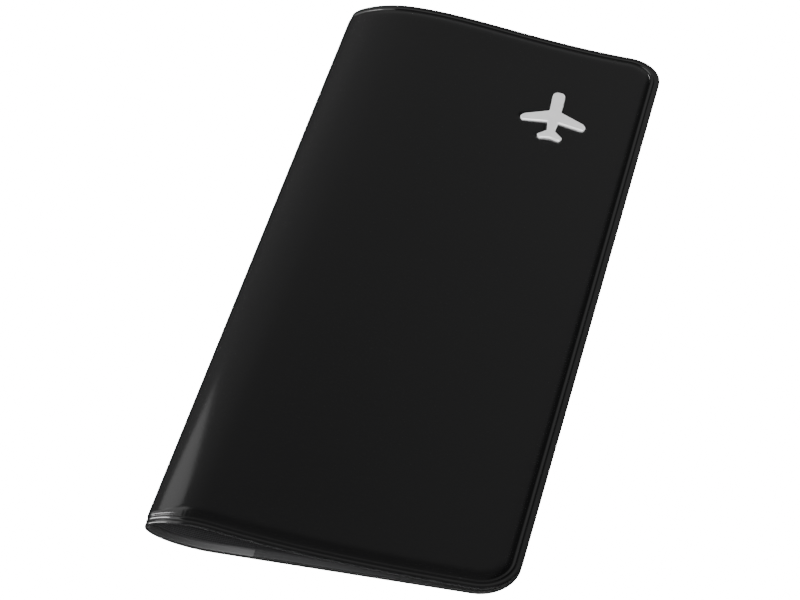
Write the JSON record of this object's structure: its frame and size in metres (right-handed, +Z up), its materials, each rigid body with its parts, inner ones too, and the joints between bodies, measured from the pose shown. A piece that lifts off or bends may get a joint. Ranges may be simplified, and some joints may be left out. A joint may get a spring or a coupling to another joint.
{
  "type": "passport holder",
  "caption": "Long padded book-style wallet of glossy sheet with a welded rim, inside pockets and an aeroplane emblem; folds open flat along its left side.",
  "frame": {"origin": "middle of the closed wallet's length and width, at the height it rests on", "axes": "+Y along the fold towards the emblem's end, +X from the fold to the fore-edge, +Z up out of the front cover"},
  "size_m": [0.1, 0.23, 0.0137],
  "materials": {
    "gloss_skin": "glossy black flexible vinyl sheet",
    "foam": "thin soft foam",
    "grained_lining": "matte black vinyl with a fine woven grain",
    "pocket_sheet": "semi-matte black vinyl sheet",
    "satin_metal": "satin silver plate with a bright edge"
  },
  "bodies": {
    "back_half": {"outer_cover_back": "gloss_skin", "foam_pad_back": "foam", "lining_back": "grained_lining", "pocket_back": "pocket_sheet"},
    "spine_fold": {"outer_cover_spine": "gloss_skin", "lining_spine": "grained_lining"},
    "front_half": {"outer_cover_front": "gloss_skin", "foam_pad_front": "foam", "lining_front": "grained_lining", "pocket_front": "pocket_sheet", "card_slot_1": "pocket_sheet", "card_slot_2": "pocket_sheet", "emblem_plate": "satin_metal", "emblem_retainer_1": "satin_metal", "emblem_retainer_2": "satin_metal"}
  },
  "joints": [
    {"name": "lower_fold", "type": "hinge", "parent": "back_half", "child": "spine_fold", "pos_m": [-0.04971, 0, 0.0056], "axis": [0, -1, 0], "range_deg": [0, 90]},
    {"name": "upper_fold", "type": "hinge", "parent": "spine_fold", "child": "front_half", "pos_m": [-0.04846, 0, 0.0084], "axis": [0, -1, 0], "range_deg": [0, 90]}
  ],
  "couplings": [
    {"joint": "upper_fold", "follows": "lower_fold", "ratio": 1}
  ]
}
